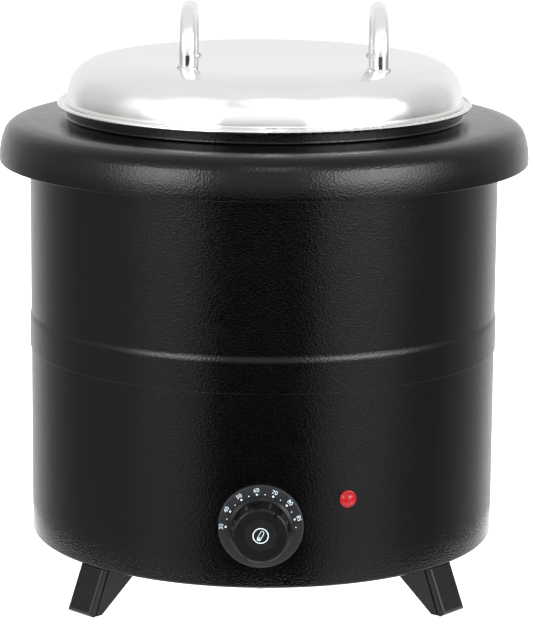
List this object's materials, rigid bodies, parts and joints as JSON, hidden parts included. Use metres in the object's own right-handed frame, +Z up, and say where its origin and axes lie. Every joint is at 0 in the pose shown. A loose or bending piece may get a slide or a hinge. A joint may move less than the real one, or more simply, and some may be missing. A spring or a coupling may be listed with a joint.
{
  "type": "soup kettle",
  "caption": "Electric wet-heat soup kettle: black painted body on splayed feet, water well, lift-out pot, domed steel lid with bail handles, thermostat knob and lamp.",
  "frame": {"origin": "floor, under the body's axis", "axes": "+Z up along the body axis, -Y to the front where the control knob is, +X to the right seen from the front"},
  "size_m": [0.3996, 0.3996, 0.4406],
  "materials": {
    "body_paint": "black fine-textured stove enamel, semi-gloss",
    "polished_steel": "mirror-polished stainless steel",
    "satin_steel": "satin stainless steel",
    "plated_steel": "zinc-plated steel",
    "black_plastic": "satin moulded plastic",
    "dial_plastic": "satin moulded plastic with pale printed marks",
    "lens_red": "clear red moulded lens",
    "white_plastic": "ivory moulded plastic",
    "aluminium": "rolled sheet",
    "element_sheath": "oxidised element sheath",
    "copper": "bare drawn copper",
    "wire_brown": "brown silicone insulation",
    "wire_blue": "blue silicone insulation",
    "wire_green": "green and yellow silicone insulation"
  },
  "bodies": {
    "body": {"lower_casing": "body_paint", "upper_casing": "body_paint", "top_collar": "body_paint", "collar_studs": "plated_steel", "collar_nuts": "plated_steel", "base_plate": "plated_steel", "base_plate_screws": "plated_steel", "foot_front_right": "black_plastic", "foot_rear_right": "black_plastic", "foot_rear_left": "black_plastic", "foot_front_left": "black_plastic", "foot_screws": "plated_steel", "water_well": "satin_steel", "heat_spreader": "aluminium", "element_clamp": "plated_steel", "element_studs": "plated_steel", "element_nuts": "plated_steel", "heating_element": "element_sheath", "safety_cutout": "white_plastic", "thermostat_body": "white_plastic", "thermostat_plate": "plated_steel", "thermostat_screws": "plated_steel", "thermostat_bulb": "copper", "thermostat_capillary": "copper", "bulb_clip": "satin_steel", "dial_plate": "dial_plastic", "lamp_lens": "lens_red", "lamp_housing": "lens_red", "lamp_clip": "plated_steel", "terminal_block": "white_plastic", "terminal_screws": "plated_steel", "earth_stud": "plated_steel", "earth_nuts": "plated_steel", "cord_gland": "black_plastic", "gland_nut": "black_plastic", "live_wire": "wire_brown", "control_wire": "wire_brown", "element_live_wire": "wire_brown", "element_neutral_wire": "wire_blue", "earth_wire": "wire_green", "lamp_live_wire": "wire_brown", "lamp_neutral_wire": "wire_blue"},
    "pot": {"soup_pot": "polished_steel"},
    "lid": {"lid_shell": "polished_steel", "lid_handle_left": "polished_steel", "lid_handle_right": "polished_steel"},
    "knob": {"control_knob": "black_plastic", "knob_cap": "dial_plastic", "thermostat_shaft": "plated_steel"}
  },
  "joints": [
    {"name": "pot_lift", "type": "slide", "parent": "body", "child": "pot", "axis": [0, 0, 1], "range_m": [0, 0.26]},
    {"name": "lid_lift", "type": "slide", "parent": "pot", "child": "lid", "axis": [0, 0, 1], "range_m": [0, 0.2]},
    {"name": "knob_turn", "type": "hinge", "parent": "body", "child": "knob", "pos_m": [0, -0.19, 0.0799], "axis": [0, 1, 0], "range_deg": [-123, 53]}
  ]
}
